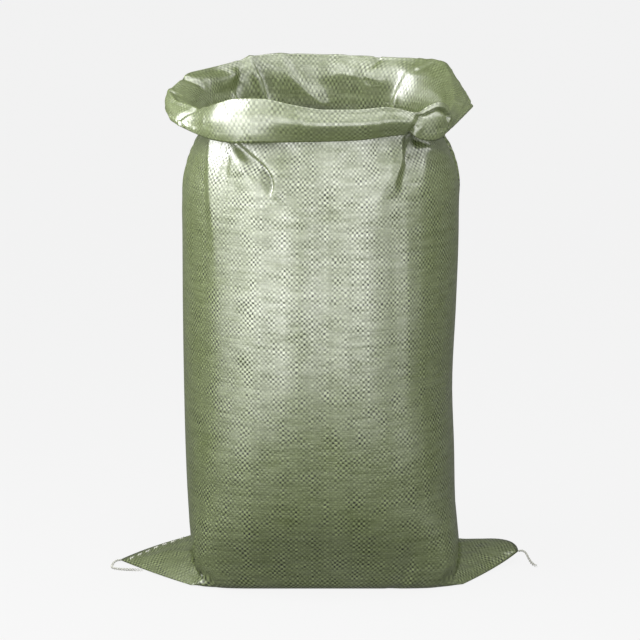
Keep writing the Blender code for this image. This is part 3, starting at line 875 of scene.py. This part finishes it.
def cement_material():
    made, shader, wire = finish("cement_powder")
    place = wire.node("ShaderNodeTexCoord", output="Object")
    grains = wire.node("ShaderNodeTexNoise", None, {"Vector": place, "Scale": 1400.0, "Detail": 4.0})
    clods = wire.node("ShaderNodeTexNoise", None, {"Vector": place, "Scale": 90.0, "Detail": 5.0})
    shade = 0.72 + clods * 0.40 + grains * 0.16
    colour = wire.node(
        "ShaderNodeMix", {"data_type": "RGBA", "blend_type": "MULTIPLY"},
        {0: 1.0, 6: CEMENT_COLOUR,
         7: wire.node("ShaderNodeCombineColor", None, {0: shade, 1: shade, 2: shade})},
        output=2)
    bump = wire.node("ShaderNodeBump", None, {"Height": clods + grains * 0.3, "Distance": 0.0012, "Strength": 0.8})
    feed(shader, Base_Color=colour, Normal=bump)
    shader.inputs["Roughness"].default_value = 0.95
    shader.inputs["Specular IOR Level"].default_value = 0.2
    return made


heap = powder()
heap.data.materials.append(cement_material())
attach(heap, "root")
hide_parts("cement_fill")

# The stitches that close the bottom of the tube: a row of short bites of the same twisted
# thread, sewn through the hem along one edge of each ear.
STITCH_PITCH = 0.0115
STITCH_LENGTH = 0.0062
STITCH_SINK = 0.0004
TUCKED_SINK = 0.0021
SEAM_INSET = 0.0085
BACK_SEAM_INSET = 0.0135
SEAM_SHARES = (0.06, 0.88)


def stitches(name, start, bow, end, inset, sink):
    """Stitches on top of an ear, inset from the bowed edge from its tip to its root."""
    line = bpy.data.curves.new(name, "CURVE")
    line.bevel_depth = STRAND_RADIUS
    depsgraph = bpy.context.evaluated_depsgraph_get()
    share = np.linspace(*SEAM_SHARES, 200)
    edge = bowed(start, bow, end, share)
    ahead = np.gradient(edge, axis=0)
    ahead /= np.linalg.norm(ahead, axis=1)[:, None]
    edge += inset * np.cross((0, 0, 1), ahead)
    along = walked(edge)
    for first in np.arange(0.0, along[-1] - STITCH_LENGTH, STITCH_PITCH):
        marks = np.linspace(first, first + STITCH_LENGTH, 9)
        route = np.column_stack([np.interp(marks, along, axis) for axis in edge.T])
        for number, spot in enumerate(route):
            hit, place, *_ = cloth.ray_cast((spot[0], spot[1], 0.06), (0, 0, -1), depsgraph=depsgraph)
            rise = math.sin(math.pi * number / (len(route) - 1)) ** 0.5
            spot[2] = place.z + STRAND_OFFSET * rise - sink
        twisted_strands(line, route)
    made = as_mesh(line, name, spun_thread)
    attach(made, "root")
    return made


left_row = stitches("stitches_left", LEFT_EAR.tip, LEFT_EAR.back_bow, LEFT_EAR.back_root,
                    -BACK_SEAM_INSET, STITCH_SINK)
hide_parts("seam_thread_left")
right_row = stitches("stitches_right", RIGHT_EAR.tip, RIGHT_EAR.front_bow, RIGHT_EAR.front_root,
                     -SEAM_INSET, TUCKED_SINK)
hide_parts("seam_thread_right")


# The floor is plain and pale. Soft square lamps stand round the front at four heights, each at
# an azimuth from the front towards +X and an elevation, with its power in watts and its distance.
FLOOR_SIZE = 16.0
LAMP_AIM = Vector((0, 0, 0.3))
LAMP_SPREAD = 0.6
LAMPS = (
    (0, 89, 5.0, 1.5), (60, 68, 6.0, 1.5), (-35, 48, 6.0, 1.5), (20, 48, 3.8, 1.5),
    (-70, 28, 3.6, 1.5), (-70, 8, 4.2, 1.5), (-35, 8, 6.2, 1.5), (-10, 8, 4.2, 1.5),
    (20, 8, 5.6, 1.5), (45, 8, 2.4, 1.5), (65, 8, 1.6, 1.5), (-50, 8, 2.0, 1.5),
    (-82, 42, 4.2, 0.75), (80, 45, 1.2, 0.75),
)


def floor():
    form = bmesh.new()
    bmesh.ops.create_grid(form, x_segments=1, y_segments=1, size=FLOOR_SIZE / 2)
    mesh = bpy.data.meshes.new("floor")
    form.to_mesh(mesh)
    form.free()
    made = bpy.data.objects.new("floor", mesh)
    bpy.context.scene.collection.objects.link(made)
    material, shader, _ = finish("pale_floor")
    shader.inputs["Base Color"].default_value = (0.03, 0.03, 0.03, 1)
    shader.inputs["Specular IOR Level"].default_value = 0.0
    shader.inputs["Roughness"].default_value = 0.9
    shader.inputs["Emission Color"].default_value = (1, 1, 1, 1)
    shader.inputs["Emission Strength"].default_value = 0.88
    mesh.materials.append(material)
    made.visible_diffuse = False
    made.visible_glossy = False
    return made


def lamp(azimuth, elevation, power, distance):
    light = bpy.data.lights.new("softbox", "AREA")
    light.size = LAMP_SPREAD * distance
    light.energy = power
    made = bpy.data.objects.new("softbox", light)
    round_it, up = math.radians(azimuth), math.radians(elevation)
    away = Vector((math.sin(round_it) * math.cos(up), -math.cos(round_it) * math.cos(up), math.sin(up)))
    made.location = LAMP_AIM + distance * away
    made.rotation_euler = away.to_track_quat("Z", "Y").to_euler()
    bpy.context.scene.collection.objects.link(made)
    return made


floor()
for azimuth, elevation, power, distance in LAMPS:
    lamp(azimuth, elevation, power, distance)
world = bpy.data.worlds.new("studio")
world.use_nodes = True
world.node_tree.nodes["Background"].inputs["Color"].default_value = (1, 1, 1, 1)
world.node_tree.nodes["Background"].inputs["Strength"].default_value = 0.18
bpy.context.scene.world = world
bpy.context.scene.view_settings.view_transform = "Standard"
